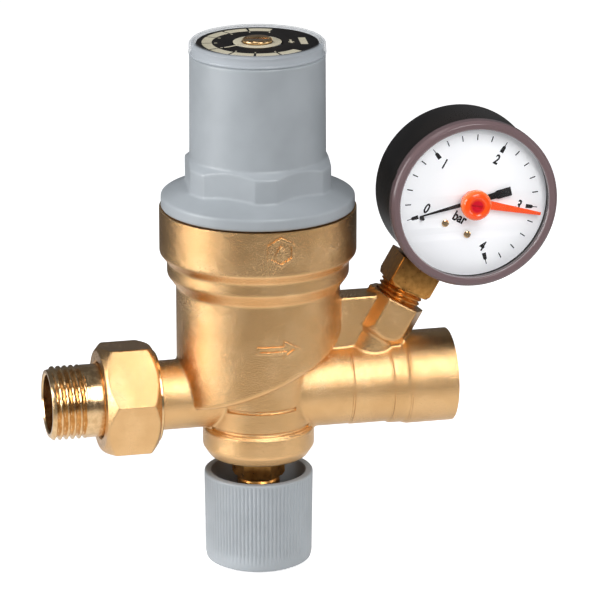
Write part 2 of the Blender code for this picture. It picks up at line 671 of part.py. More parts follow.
def gauge_socket():
    """Brass stem: thread in the boss, square for the spanner, neck and block in the case."""
    top = -23.8
    socket = box("gauge_socket", DARK_BRASS, (-4.8, -4.9, -21.0), (4.8, 3.5, -12.3),
                 GAUGE_CENTRE, ALONG_STEM)
    neck = rod("add_stem_neck", None, 3.1, -26, -20, 16, GAUGE_CENTRE, ALONG_STEM)
    square = prism("add_stem_square", None, 4, 13.0, -32.3, top, 45.0, GAUGE_CENTRE, ALONG_STEM)
    form = turned("keep_stem_form", None, [
        (0, top + 1), (8.9, top + 1), (8.9, -30.9), (8.0, -32.3), (0, -32.3)], 16, GAUGE_CENTRE, ALONG_STEM)
    keep(square, form)
    thread = turned("add_stem_thread", None, [
        (0, -31), (6.2, -31), (6.2, -45.2), (5.4, -46.0), (0, -46.0)], 12, GAUGE_CENTRE, ALONG_STEM)
    add(socket, neck, square, thread)
    bore = rod("cut_stem_bore", None, 1.5, -47, -16, 8, GAUGE_CENTRE, ALONG_STEM)
    return cut(socket, bore)


def bourdon_tube():
    start = TOWARDS_STEM + TUBE_START
    points = [(*polar(TUBE_R, start + TUBE_SWEEP * i / 28), 0.0) for i in range(29)]
    at_gauge(wire, "bourdon_tube", DARK_BRASS, points, 1.6, 1)
    end = polar(TUBE_R, start + TIP_ANGLE)
    tip = box("bourdon_tip", DARK_BRASS, (-2.0, -1.0, -1.8), (2.0, 1.0, 2.2), GAUGE_CENTRE,
              (90.0, -(start + TIP_ANGLE), 0.0))
    shift_local(tip, end)
    pin = rod("add_tip_pin", None, 0.6, 0.0, 7.8, 8, GAUGE_CENTRE, FACE_FRONT)
    shift_local(pin, end)
    return add(tip, pin)


def sector_pivot():
    return along(GEAR_MODULE * (PINION_TEETH + SECTOR_TEETH) / 2)


def movement_outline():
    """Rounded plate outline from above the pinion to below the sector's pivot."""
    corners = [(-8, -4), (-8, 4), (6, 5.5), (12, 9.4), (18.5, 9.4), (18.5, -9.4), (12, -9.4), (6, -5.5)]
    return [along(*corner) for corner in corners]


def post_places():
    return [along(17.3, 7.9), along(17.3, -7.9), along(-5.6)]


def movement_plates():
    pivots = [circle(1.25, count=12), circle(1.25, sector_pivot(), 12)]
    back = at_gauge(plate, "movement_back_plate", DARK_BRASS, [movement_outline()] + pivots, 5.3, 6.3)
    back = as_mesh(back)
    for index, place in enumerate(post_places()):
        post = rod(f"add_post_{index}", None, 1.1, 6.0, 10.9, 8, GAUGE_CENTRE, FACE_FRONT)
        shift_local(post, place)
        add(back, post)
    screws = [circle(1.0, place, 8) for place in dial_screw_places()]
    at_gauge(plate, "movement_front_plate", DARK_BRASS, [movement_outline()] + pivots + screws, 11.2, 12.2)


def tooth_points(teeth, first, last, centre, phase):
    """Corner points of plain gear teeth between two tooth numbers, anticlockwise."""
    pitch_r = GEAR_MODULE * teeth / 2
    pitch_angle = 360.0 / teeth
    points = []
    for index in range(first, last + 1):
        middle = phase + index * pitch_angle
        for radius, half in ((pitch_r - 0.75, -0.50), (pitch_r + 0.40, -0.24),
                             (pitch_r + 0.40, 0.24), (pitch_r - 0.75, 0.50)):
            points.append(polar(radius, middle + math.degrees(half / pitch_r), centre))
    return points


def pinion_arbor():
    """Pointer arbor with its pinion between the movement plates."""
    teeth = tooth_points(PINION_TEETH, 0, PINION_TEETH - 1, (0.0, 0.0), TOWARDS_STEM)
    pinion = as_mesh(at_gauge(plate, "add_pinion", None, [teeth], 7.6, 9.6))
    arbor = rod("pinion_arbor", STEEL, 0.9, 5.6, 14.9, 10, GAUGE_CENTRE, FACE_FRONT)
    return add(arbor, pinion)


def sector_gear():
    """Toothed sector with its pivot shaft and a tail with the link's pin."""
    pivot = sector_pivot()
    up = 90.0 - STEM_TILT
    step = 360.0 / SECTOR_TEETH
    teeth = tooth_points(SECTOR_TEETH, -7, 0, pivot, up + step / 2)
    tail_way = up - SECTOR_SWING / 2 + 180.0
    tail = [polar(5.6, tail_way + a, pivot) for a in (-12, 0, 12)]
    hub = [polar(2.2, tail_way + a, pivot) for a in (-60, 60)]
    outline = teeth + [hub[0]] + tail + [hub[1]]
    gear = as_mesh(at_gauge(plate, "sector_gear", DARK_BRASS, [outline], 8.0, 9.2))
    shaft = rod("add_sector_shaft", None, 0.9, 5.6, 12.0, 8, GAUGE_CENTRE, FACE_FRONT)
    shift_local(shaft, pivot)
    pin = rod("add_tail_pin", None, 0.6, 6.5, 8.5, 8, GAUGE_CENTRE, FACE_FRONT)
    shift_local(pin, polar(TAIL_R, tail_way, pivot))
    return add(gear, shaft, pin)


def movement_link():
    """Flat link from the tube's tip pin to the sector's tail pin, with a slot at the tail."""
    start = polar(TUBE_R, TOWARDS_STEM + TUBE_START + TIP_ANGLE)
    pivot = sector_pivot()
    slot = [polar(TAIL_R + side * 1.05, TOWARDS_STEM + turn, pivot)
            for side, turns in ((1, (-38, -20, 0, 20, 38)), (-1, (42, 20, 0, -20, -42))) for turn in turns]
    paddle = [polar(6.5, TOWARDS_STEM + turn, pivot) for turn in (40, 20, 0, -20, -50)]
    inner = [polar(2.5, TOWARDS_STEM + turn, pivot) for turn in (-60, 60)]
    away = polar(1.5, 190.0, start)
    near = polar(1.5, 10.0, start)
    over = polar(1.7, 100.0, start)
    outline = paddle + [away, over, near] + inner
    at_gauge(plate, "movement_link", DARK_BRASS, [outline, slot, circle(0.95, start, 10)], 6.7, 7.3)


def build_valve():
    valve_body()
    union_nut()
    union_tailpiece()
    union_gasket()
    spring_cover()
    clear_lid()
    setting_scale()
    setting_pointer()
    setting_screw()
    spring_plate()
    setting_spring()
    diaphragm()
    diaphragm_discs()
    diaphragm_nut()
    obturator()
    obturator_gasket()
    o_rings()
    cartridge_body()
    strainer()
    seat_ring()
    piston_sleeve()
    check_valve()
    shutoff_carrier()
    shutoff_gasket()
    shutoff_spindle()
    spindle_collar()
    gland_nut()
    gland_washer()
    control_knob()
    knob_screw()


def build_gauge():
    gauge_case()
    gauge_window()
    gauge_dial()
    gauge_pointer()
    limit_pointer()
    gauge_socket()
    bourdon_tube()
    movement_plates()
    pinion_arbor()
    sector_gear()
    movement_link()


clear_scene()
PARTS = make_collection("pressure_reducing_valve")
CUTTERS = make_collection("cutters")
build_valve()
build_gauge()
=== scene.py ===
import json
import math

import bmesh
import bpy
from mathutils import Matrix, Vector


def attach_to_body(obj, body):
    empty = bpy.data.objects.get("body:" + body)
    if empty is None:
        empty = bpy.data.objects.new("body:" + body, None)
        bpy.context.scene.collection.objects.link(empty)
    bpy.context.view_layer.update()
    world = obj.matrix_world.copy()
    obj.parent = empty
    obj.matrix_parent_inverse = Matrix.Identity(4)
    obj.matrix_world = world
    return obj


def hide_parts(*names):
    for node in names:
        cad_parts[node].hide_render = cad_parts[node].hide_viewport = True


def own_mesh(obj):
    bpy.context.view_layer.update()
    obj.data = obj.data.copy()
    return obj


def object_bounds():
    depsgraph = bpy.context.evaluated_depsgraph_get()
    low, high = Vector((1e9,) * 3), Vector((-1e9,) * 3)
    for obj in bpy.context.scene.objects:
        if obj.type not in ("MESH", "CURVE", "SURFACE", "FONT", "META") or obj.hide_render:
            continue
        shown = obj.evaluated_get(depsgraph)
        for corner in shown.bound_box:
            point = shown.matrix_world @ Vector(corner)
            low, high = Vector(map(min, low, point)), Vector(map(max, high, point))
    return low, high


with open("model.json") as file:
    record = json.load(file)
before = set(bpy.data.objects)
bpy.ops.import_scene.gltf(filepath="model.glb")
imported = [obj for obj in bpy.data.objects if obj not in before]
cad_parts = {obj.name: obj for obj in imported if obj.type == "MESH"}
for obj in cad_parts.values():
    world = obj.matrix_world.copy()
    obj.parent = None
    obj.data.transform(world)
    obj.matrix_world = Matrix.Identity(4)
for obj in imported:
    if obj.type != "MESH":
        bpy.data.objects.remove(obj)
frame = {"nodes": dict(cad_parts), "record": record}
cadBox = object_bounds()
nodes = frame["nodes"]
mm = 0.001

gaugeCentre = Vector((58.5, 0, 55.3)) * mm
stemLean = 30.0                                   # degrees from upright
alongX = Matrix.Rotation(math.pi / 2, 4, "Y")     # local Z runs along the pipe
atGauge = Matrix.Translation(gaugeCentre) @ Matrix.Rotation(math.pi / 2, 4, "X")
alongStem = Matrix.Translation(gaugeCentre) @ Matrix.Rotation(math.radians(stemLean), 4, "Y")
upright = Matrix.Identity(4)


class Value:
    # a socket that can be added, multiplied and compared
    def __init__(self, finish, socket):
        self.finish = finish
        self.socket = socket

    def sum(self, operation, first, second):
        return self.finish.node("ShaderNodeMath", {"operation": operation}, {0: first, 1: second})

    def __add__(self, other):
        return self.sum("ADD", self, other)

    def __radd__(self, other):
        return self.sum("ADD", other, self)

    def __sub__(self, other):
        return self.sum("SUBTRACT", self, other)

    def __rsub__(self, other):
        return self.sum("SUBTRACT", other, self)

    def __mul__(self, other):
        return self.sum("MULTIPLY", self, other)

    def __rmul__(self, other):
        return self.sum("MULTIPLY", other, self)

    def __pow__(self, other):
        return self.sum("POWER", self, other)

    def ramp(self, low, high, start=0.0, end=1.0):
        # a smooth step from start to end as the value goes from low to high
        return self.finish.node(
            "ShaderNodeMapRange", {"interpolation_type": "SMOOTHSTEP"},
            {"Value": self, "From Min": low, "From Max": high, "To Min": start, "To Max": end})


class Finish:
    # one Principled material while it is being wired
    def __init__(self, name, roughness, metallic=0.0, **fixed):
        self.material = bpy.data.materials.new(name)
        self.material.use_nodes = True
        self.tree = self.material.node_tree
        self.shader = self.tree.nodes["Principled BSDF"]
        self.set({"Roughness": roughness, "Metallic": metallic})
        self.set({key.replace("_", " ").title().replace("Ior", "IOR"): v for key, v in fixed.items()})
        self.place = self.node("ShaderNodeTexCoord", out="Object")

    def node(self, kind, settings=None, sockets=None, out=0):
        made = self.tree.nodes.new(kind)
        for key, value in (settings or {}).items():
            setattr(made, key, value)
        for key, value in (sockets or {}).items():
            if isinstance(value, Value):
                self.tree.links.new(value.socket, made.inputs[key])
            else:
                made.inputs[key].default_value = value
        return Value(self, made.outputs[out])

    def set(self, sockets):
        for key, value in sockets.items():
            if isinstance(value, Value):
                self.tree.links.new(value.socket, self.shader.inputs[key])
            else:
                self.shader.inputs[key].default_value = value

    def noise(self, scale, detail=2.0, roughness=0.5, stretch=None):
        where = self.place
        if stretch:
            where = self.node("ShaderNodeMapping", None, {"Vector": self.place, "Scale": stretch})
        return self.node("ShaderNodeTexNoise", None, {
            "Vector": where, "Scale": scale, "Detail": detail, "Roughness": roughness})

    def mix(self, share, first, second):
        return self.node("ShaderNodeMix", {"data_type": "RGBA"}, {
            0: share, 6: (*first, 1.0) if isinstance(first, tuple) else first,
            7: (*second, 1.0) if isinstance(second, tuple) else second}, 2)

    def axis(self, name):
        return self.node("ShaderNodeSeparateXYZ", None, {0: self.place}, name)

    def radius(self, centre, axes):
        # distance from a line through centre, in metres, seen along the axis left out
        total = None
        for axis in axes:
            part = self.axis(axis) - centre["XYZ".index(axis)]
            total = part * part if total is None else total + part * part
        return total ** 0.5

    def bump(self, height, strength, distance):
        self.set({"Normal": self.node("ShaderNodeBump", None, {
            "Height": height, "Strength": strength, "Distance": distance})})


def rounded(points, steps=4):
    # a polyline of (r, z) or (r, z, corner radius), its corners turned into arcs
    made = []
    count = len(points)
    for i, point in enumerate(points):
        if len(point) == 2:
            made.append(point)
            continue
        here = Vector(point[:2])
        back = (Vector(points[i - 1][:2]) - here).normalized()
        on = (Vector(points[(i + 1) % count][:2]) - here).normalized()
        half = back.angle(on) / 2
        centre = here + (back + on).normalized() * (point[2] / math.sin(half))
        first = here + back * (point[2] / math.tan(half)) - centre
        last = here + on * (point[2] / math.tan(half)) - centre
        for k in range(steps + 1):
            spot = centre + first.slerp(last, k / steps).normalized() * point[2]
            made.append((spot.x, spot.y))
    return made


def lathe(profile, steps=96, place=upright):
    # spins a profile in mm about local Z; one that keeps off the axis is a closed ring
    bm = bmesh.new()
    verts = [bm.verts.new((max(r, 0) * mm, 0, z * mm)) for r, z in rounded(profile)]
    edges = [bm.edges.new(pair) for pair in zip(verts, verts[1:])]
    if profile[0][0] > 0:
        edges.append(bm.edges.new((verts[-1], verts[0])))
    bmesh.ops.spin(bm, geom=verts + edges, cent=(0, 0, 0), axis=(0, 0, 1), angle=2 * math.pi,
                   steps=steps, use_merge=True, use_duplicate=False)
    bmesh.ops.remove_doubles(bm, verts=bm.verts, dist=0.000002)
    bmesh.ops.recalc_face_normals(bm, faces=bm.faces)
    bmesh.ops.transform(bm, matrix=place, verts=bm.verts)
    return bm


def block(low, high, place=upright, edge=0.0):
    # a box from corner to corner in mm, with its edges rounded
    bm = bmesh.new()
    bmesh.ops.create_cube(bm, size=1.0)
    bmesh.ops.scale(bm, vec=[(h - l) * mm for l, h in zip(low, high)], verts=bm.verts)
    bmesh.ops.translate(bm, vec=[(h + l) / 2 * mm for l, h in zip(low, high)], verts=bm.verts)
    if edge:
        bmesh.ops.bevel(bm, geom=bm.edges, offset=edge * mm, segments=3, profile=0.5,
                        affect="EDGES", material=-1)
    bmesh.ops.transform(bm, matrix=place, verts=bm.verts)
    return bm


def prism(sides, flats, low, high, twist=0.0, place=upright):
    bm = bmesh.new()
    radius = flats / 2 / math.cos(math.pi / sides) * mm
    bmesh.ops.create_cone(bm, cap_ends=True, segments=sides, radius1=radius, radius2=radius,
                          depth=(high - low) * mm)
    bmesh.ops.rotate(bm, verts=bm.verts, matrix=Matrix.Rotation(math.radians(twist - 90), 3, "Z"))
    bmesh.ops.translate(bm, verts=bm.verts, vec=(0, 0, (low + high) / 2 * mm))
    bmesh.ops.transform(bm, matrix=place, verts=bm.verts)
    return bm


def toObject(bm, name, material=None, sharp=32):
    mesh = bpy.data.meshes.new(name)
    bm.to_mesh(mesh)
    bm.free()
    return meshObject(mesh, name, material, sharp)


def meshObject(mesh, name, material=None, sharp=32):
    mesh.polygons.foreach_set("use_smooth", [True] * len(mesh.polygons))
    mesh.set_sharp_from_angle(angle=math.radians(sharp))
    mesh.materials.clear()
    if material:
        mesh.materials.append(material)
    obj = bpy.data.objects.new(name, mesh)
    bpy.context.scene.collection.objects.link(obj)
    return obj


def joined(pieces):
    # several bmeshes in one
    whole = bmesh.new()
    for piece in pieces:
        part = bpy.data.meshes.new("part")
        piece.to_mesh(part)
        piece.free()
        whole.from_mesh(part)
        bpy.data.meshes.remove(part)
    return whole


def applied(obj, name=None, material=None, sharp=32):
    # the object's shape with its modifiers, as a new plain object
    bpy.context.view_layer.update()
    mesh = bpy.data.meshes.new_from_object(
        obj.evaluated_get(bpy.context.evaluated_depsgraph_get()))
    keptName = name or obj.name
    bpy.data.objects.remove(obj, do_unlink=True)
    made = meshObject(mesh, keptName, material, sharp)
    made.name = keptName
    return made


def carve(obj, operation, cutters, name=None, material=None, sharp=32):
    # one exact Boolean for each cutter mesh
    tools = [toObject(bm, "tool") for bm in cutters]
    for tool in tools:
        boolean = obj.modifiers.new("shape", "BOOLEAN")
        boolean.operation = operation
        boolean.solver = "EXACT"
        boolean.object = tool
    made = applied(obj, name, material, sharp)
    for tool in tools:
        bpy.data.objects.remove(tool, do_unlink=True)
    return made


def softened(bms, name, voxel, passes, keep):
    # fuses overlapping forms into one skin with soft edges and filled corners
    obj = toObject(joined(bms), name)
    remesh = obj.modifiers.new("skin", "REMESH")
    remesh.mode = "VOXEL"
    remesh.voxel_size = voxel * mm
    remesh.adaptivity = 0.0
    obj = applied(obj)
    bm = bmesh.new()
    bm.from_mesh(obj.data)
    for _ in range(passes):
        bmesh.ops.smooth_vert(bm, verts=bm.verts, factor=0.5, use_axis_x=True, use_axis_y=True,
                              use_axis_z=True)
    bm.to_mesh(obj.data)
    bm.free()
    thin = obj.modifiers.new("thin", "DECIMATE")
    thin.ratio = keep                                 # the share of the faces that stay
    return applied(obj)


def eased(obj, width, angle, name=None, material=None):
    # a small bevel on every edge that turns by more than angle
    edge = obj.modifiers.new("edge", "BEVEL")
    edge.width = width * mm
    edge.segments = 2
    edge.limit_method = "ANGLE"
    edge.angle_limit = math.radians(angle)
    return applied(obj, name, material)


def toBmesh(obj):
    # the object's mesh to build on; the object goes
    bm = bmesh.new()
    bm.from_mesh(obj.data)
    bpy.data.objects.remove(obj, do_unlink=True)
    return bm


def flat(outlines, low, high, place=upright, bevel=0.0):
    # a flat plate in local XY: the first outline is its edge, the others are holes
    curve = bpy.data.curves.new("outline", "CURVE")
    curve.dimensions = "2D"
    curve.fill_mode = "BOTH"
    curve.extrude = (high - low) / 2 * mm - bevel * mm
    curve.bevel_depth = bevel * mm
    curve.bevel_resolution = 1
    for outline in outlines:
        spline = curve.splines.new("POLY")
        spline.points.add(len(outline) - 1)
        spline.use_cyclic_u = True
        for point, (x, y) in zip(spline.points, outline):
            point.co = (x * mm, y * mm, 0, 1)
    return curveMesh(curve, Matrix.Translation((0, 0, (low + high) / 2 * mm)), place)


def curveMesh(curve, lift, place):
    holder = bpy.data.objects.new("outline", curve)
    bpy.context.scene.collection.objects.link(holder)
    bpy.context.view_layer.update()
    mesh = bpy.data.meshes.new_from_object(
        holder.evaluated_get(bpy.context.evaluated_depsgraph_get()))
    bpy.data.objects.remove(holder, do_unlink=True)
    bm = bmesh.new()
    bm.from_mesh(mesh)
    bpy.data.meshes.remove(mesh)
    bmesh.ops.remove_doubles(bm, verts=bm.verts, dist=0.000001)
    bmesh.ops.recalc_face_normals(bm, faces=bm.faces)
    bmesh.ops.transform(bm, matrix=place @ lift, verts=bm.verts)
    return bm


def letters(text, size, middle, tilt, low, high, place, narrow):
    bold = 0.13                                       # mm added all round each stroke
    curve = bpy.data.curves.new("letters", "FONT")
    curve.body = text
    curve.size = size * mm
    curve.align_x = "CENTER"
    curve.align_y = "CENTER"
    curve.extrude = (high - low) / 2 * mm
    curve.offset = bold * mm
    turn = Matrix.Rotation(math.radians(tilt), 4, "Z")
    lift = Matrix.Translation((middle[0] * mm, middle[1] * mm, (low + high) / 2 * mm))
    return curveMesh(curve, lift @ turn @ Matrix.Diagonal((narrow, 1, 1, 1)), place)


def atHeight(z):
    return Matrix.Translation((0, 0, z * mm))


def polar(radius, degrees, centre=(0, 0)):
    angle = math.radians(degrees)
    return (centre[0] + radius * math.cos(angle), centre[1] + radius * math.sin(angle))


def ring(radius, centre=(0, 0), count=48):
    return [polar(radius, 360 * i / count, centre) for i in range(count)]


def arcBand(inner, outer, start, end, steps=16):
    way = [start + (end - start) * i / steps for i in range(steps + 1)]
    return [polar(outer, a) for a in way] + [polar(inner, a) for a in reversed(way)]


def thread(bm, place, pitch, depth, crest, low, high, inward=False):
    # presses a helical thread into the wall of radius crest, between low and high, in mm
    back = place.inverted()
    fade = pitch * 0.5                                # how far the groove runs out at each end
    steep = 2.6                                       # how fast the flanks fall
    rounding = 0.8                                    # below 1 gives a fuller groove
    for vert in bm.verts:
        local = back @ vert.co / mm
        radius = math.hypot(local.x, local.y)
        if abs(radius - crest) > depth * 0.2 or not low < local.z < high:
            continue
        turn = math.atan2(local.y, local.x) / (2 * math.pi)
        phase = (local.z / pitch - turn) % 1.0
        groove = min(max(1.0 - abs(phase - 0.5) * steep, 0.0), 1.0) ** rounding
        share = min((local.z - low) / fade, (high - local.z) / fade, 1.0)
        change = groove * depth * share
        scale = (radius + change if inward else radius - change) / radius
        vert.co = place @ (Vector((local.x * scale, local.y * scale, local.z)) * mm)


def rows(low, high, step):
    # evenly spaced heights, so that a wall has enough rows for a thread or ribs
    count = max(2, round(abs(high - low) / step))
    return [low + (high - low) * i / count for i in range(count + 1)]


def attach(obj, body, slotName, *replaced):
    # the piece moves with body and stands for the CAD nodes named in replaced
    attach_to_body(obj, body)
    if replaced:
        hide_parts(*replaced)
    return obj


def brassFinish(name, colour, shade, roughness, grain, grainSize):
    f = Finish(name, roughness, 1.0)
    cloud = f.noise(90, 3)                                    # slow change of tone
    speck = f.noise(1000 / grainSize, 3, 0.6)                 # blasted grain
    fine = f.noise(2600 / grainSize, 2, 0.5)
    tone = cloud.ramp(0.35, 0.68) * 0.85 + speck.ramp(0.35, 0.7) * 0.15
    f.set({"Base Color": f.mix(tone, shade, colour),
           "Roughness": roughness + (speck - 0.5) * 0.12 + (cloud - 0.5) * 0.08})
    f.bump(speck + fine * 0.5, grain, 0.0002)
    return f.material


def turnedFinish(name, colour, shade, roughness, spacing=0.35):
    # machined metal with fine turning lines round any axis and a little tarnish
    f = Finish(name, roughness, 1.0)
    tarnish = f.noise(620, 3, 0.5)
    lines = f.noise(1000 / spacing, 2, 0.4, (1.0, 0.25, 1.0))
    f.set({"Base Color": f.mix(tarnish.ramp(0.3, 0.7), shade, colour),
           "Roughness": roughness + (tarnish - 0.5) * 0.3})
    f.bump(lines, 0.12, 0.0001)
    return f.material


def plasticFinish(name, colour, shade, roughness, grain, **fixed):
    grainSize = 0.35                                  # mm
    f = Finish(name, roughness, 0.0, **fixed)
    cloud = f.noise(55, 3)
    fine = f.noise(1000 / grainSize, 2, 0.6)
    f.set({"Base Color": f.mix(cloud.ramp(0.3, 0.7), shade, colour),
           "Roughness": roughness + (fine - 0.5) * 0.12 + (cloud - 0.5) * 0.08})
    f.bump(fine, grain, 0.0001)
    return f.material


def rubberFinish(name, colour, shade, roughness):
    f = Finish(name, roughness)
    dust = f.noise(700, 4, 0.7)
    f.set({"Base Color": f.mix(dust.ramp(0.45, 0.8), colour, shade),
           "Roughness": roughness + (dust - 0.5) * 0.2})
    f.bump(dust, 0.2, 0.0001)
    return f.material


def clearFinish(name, centre, axes, clearTo, rimFrom, colour, tint, clearAlpha, rimAlpha):
    # see-through in the middle and denser towards the rim
    f = Finish(name, 0.06, 0.0, specular_ior_level=0.3)
    away = f.radius(centre, axes)
    rim = away.ramp(clearTo * mm, rimFrom * mm)
    haze = f.noise(240, 3)
    f.set({"Base Color": f.mix(rim, colour, tint),
           "Alpha": rim * (rimAlpha - clearAlpha) + clearAlpha + (haze - 0.5) * 0.03,
           "Roughness": 0.05 + haze * 0.08})
    return f.material


def orangeFinish():
    # see-through orange, deeper and redder in the middle of its hub
    f = Finish("orangeAcrylic", 0.18, 0.0, coat_weight=0.3)
    away = f.radius(gaugeCentre, "XZ")
    core = 1 - away.ramp(1.3 * mm, 2.6 * mm)
    edge = away.ramp(3.4 * mm, 4.3 * mm) * (1 - away.ramp(4.5 * mm, 5.5 * mm))
    streak = f.noise(500, 2)
    body = f.mix(core, (0.95, 0.085, 0.006), (0.60, 0.004, 0.02))
    shown = f.mix(edge * 0.55, body, (1.0, 0.33, 0.10))
    # painted glow: the orange gives off a little light in its own colour, though it is no lamp
    f.set({"Base Color": shown, "Emission Color": shown, "Emission Strength": 0.12,
           "Roughness": 0.14 + streak * 0.1, "Alpha": 0.97 - edge * 0.12})
    return f.material


finishes = {
    "cast_brass": brassFinish("castBrass", (0.84, 0.53, 0.255), (0.74, 0.445, 0.195), 0.25, 0.55, 0.34),
    "turned_brass": turnedFinish("turnedBrass", (0.72, 0.36, 0.10), (0.55, 0.25, 0.065), 0.32),
    "stainless_steel": turnedFinish("stainlessSteel", (0.62, 0.62, 0.60), (0.45, 0.45, 0.45), 0.28),
    "spring_steel": turnedFinish("springSteel", (0.42, 0.43, 0.45), (0.25, 0.26, 0.28), 0.32),
    "black_rubber": rubberFinish("blackRubber", (0.02, 0.02, 0.02), (0.06, 0.06, 0.06), 0.7),
    "fibre_gasket": rubberFinish("fibreGasket", (0.24, 0.06, 0.04), (0.36, 0.12, 0.08), 0.85),
    "grey_plastic": plasticFinish("greyPlastic", (0.350, 0.378, 0.402), (0.300, 0.325, 0.345), 0.42, 0.16),
    "black_plastic": plasticFinish("blackPlastic", (0.010, 0.008, 0.007), (0.020, 0.015, 0.012), 0.3, 0.05,
                                   specular_ior_level=0.22),
    "white_acetal": plasticFinish("whiteAcetal", (0.80, 0.80, 0.76), (0.72, 0.72, 0.68), 0.40, 0.08),
    # the dial's emission is painted light: a faint glow that makes the white read brighter
    "dial_white": plasticFinish("dialWhite", (0.93, 0.94, 0.95), (0.90, 0.91, 0.93), 0.45, 0.02,
                                emission_color=(0.93, 0.94, 1.0, 1), emission_strength=0.16),
    "label_black": plasticFinish("labelBlack", (0.008, 0.007, 0.007), (0.018, 0.014, 0.012), 0.6, 0.04,
                                 specular_ior_level=0.1),
    "cream_plastic": plasticFinish("creamPlastic", (0.74, 0.68, 0.52), (0.62, 0.56, 0.40), 0.42, 0.06),
    "needle_black": plasticFinish("needleBlack", (0.007, 0.006, 0.006), (0.014, 0.012, 0.012), 0.5, 0.04,
                                  specular_ior_level=0.1),
    # painted reflection: the clear lid's rim is tinted pale bluish grey and made less see-through, standing
    # for the light caught on its skirt
    "clear_plastic": clearFinish("clearLid", (0, 0, 0), "XY", 17.2, 18.3, (0.30, 0.31, 0.32),
                                 (0.58, 0.62, 0.66), 0.012, 0.42),
    "orange_plastic": orangeFinish(),
}
windowFinish = clearFinish("windowClear", gaugeCentre, "XZ", 21.35, 21.75, (0.95, 0.95, 0.97),
                           (0.185, 0.125, 0.13), 0.012, 0.95)
machinedBrass = turnedFinish("machinedBrass", (0.86, 0.60, 0.33), (0.70, 0.45, 0.22), 0.20, 0.5)

slotOf = {part["node"]: part["material_slot"] for part in frame["record"]["subparts"]}
for nodeName, node in nodes.items():              # every carried-over solid gets its finish
    node.data.materials.clear()
    node.data.materials.append(finishes[slotOf[nodeName]])
print("finishes done")


body = {"rimR": 27.8, "rimTop": 54.0, "shellR": 23.2, "cutHeight": 6.4, "cutSlope": 0.41,
        "neckR": 15.2, "grooveR": 0.62, "grooves": ((-2.7, 80), (-9.4, 129)),
        "voxel": 0.36, "softPasses": 3, "keep": 0.33}
bossTop = alongStem @ atHeight(-36)


def castShell():
    # upright shell whose lower edge is cut on the slant and rolled under
    rimR, shellR = body["rimR"], body["shellR"]
    bm = lathe([(0, 55), (rimR, 55), (rimR, 41.2, 0.9), (25.7, 38.7, 0.8), (25.7, 34.9, 0.9),
                (shellR, 31.4, 1.2), (shellR, -14), (0, -14)], 96)
    cut = bmesh.ops.bisect_plane(
        bm, geom=bm.verts[:] + bm.edges[:] + bm.faces[:], dist=0.000001,
        plane_co=(0, 0, body["cutHeight"] * mm), plane_no=(body["cutSlope"], 0, -1), clear_outer=True)
    rimEdges = [e for e in cut["geom_cut"] if isinstance(e, bmesh.types.BMEdge)]
    bmesh.ops.holes_fill(bm, edges=rimEdges, sides=0)
    bmesh.ops.bevel(bm, geom=rimEdges, offset=1.5 * mm, segments=4, profile=0.5,
                    affect="EDGES", material=-1)
    bmesh.ops.recalc_face_normals(bm, faces=bm.faces)
    return bm


def gaugeBoss():
    # a hexagon with a turned end that the gauge's stem screws into
    form = lathe([(0, 0), (9.1, 0), (9.1, -8.2), (8.3, -10.6), (7.1, -12.1), (7.0, -19), (0, -19)],
                 64, bossTop)
    return toBmesh(carve(toObject(form, "bossForm"), "INTERSECT",
                         [prism(6, 15.8, -21, 1, 0.0, bossTop)]))


def grooveCut(radius, minor, place, start, sweep):
    # a round-sectioned cutter along part of a turn about local Z
    bm = bmesh.new()
    turn = Matrix.Rotation(math.radians(start), 3, "Z")
    spots = [polar(minor, 30 * i) for i in range(12)]
    verts = [bm.verts.new(turn @ Vector(((radius + a) * mm, 0, b * mm))) for a, b in spots]
    edges = [bm.edges.new((verts[i - 1], verts[i])) for i in range(12)]
    bmesh.ops.spin(bm, geom=verts + edges, cent=(0, 0, 0), axis=(0, 0, 1), angle=math.radians(sweep),
                   steps=max(8, round(sweep / 4)), use_merge=False, use_duplicate=False)
    bmesh.ops.remove_doubles(bm, verts=bm.verts, dist=0.000002)
    bmesh.ops.holes_fill(bm, edges=bm.edges, sides=0)
    bmesh.ops.recalc_face_normals(bm, faces=bm.faces)
    bmesh.ops.transform(bm, matrix=place, verts=bm.verts)
    return bm


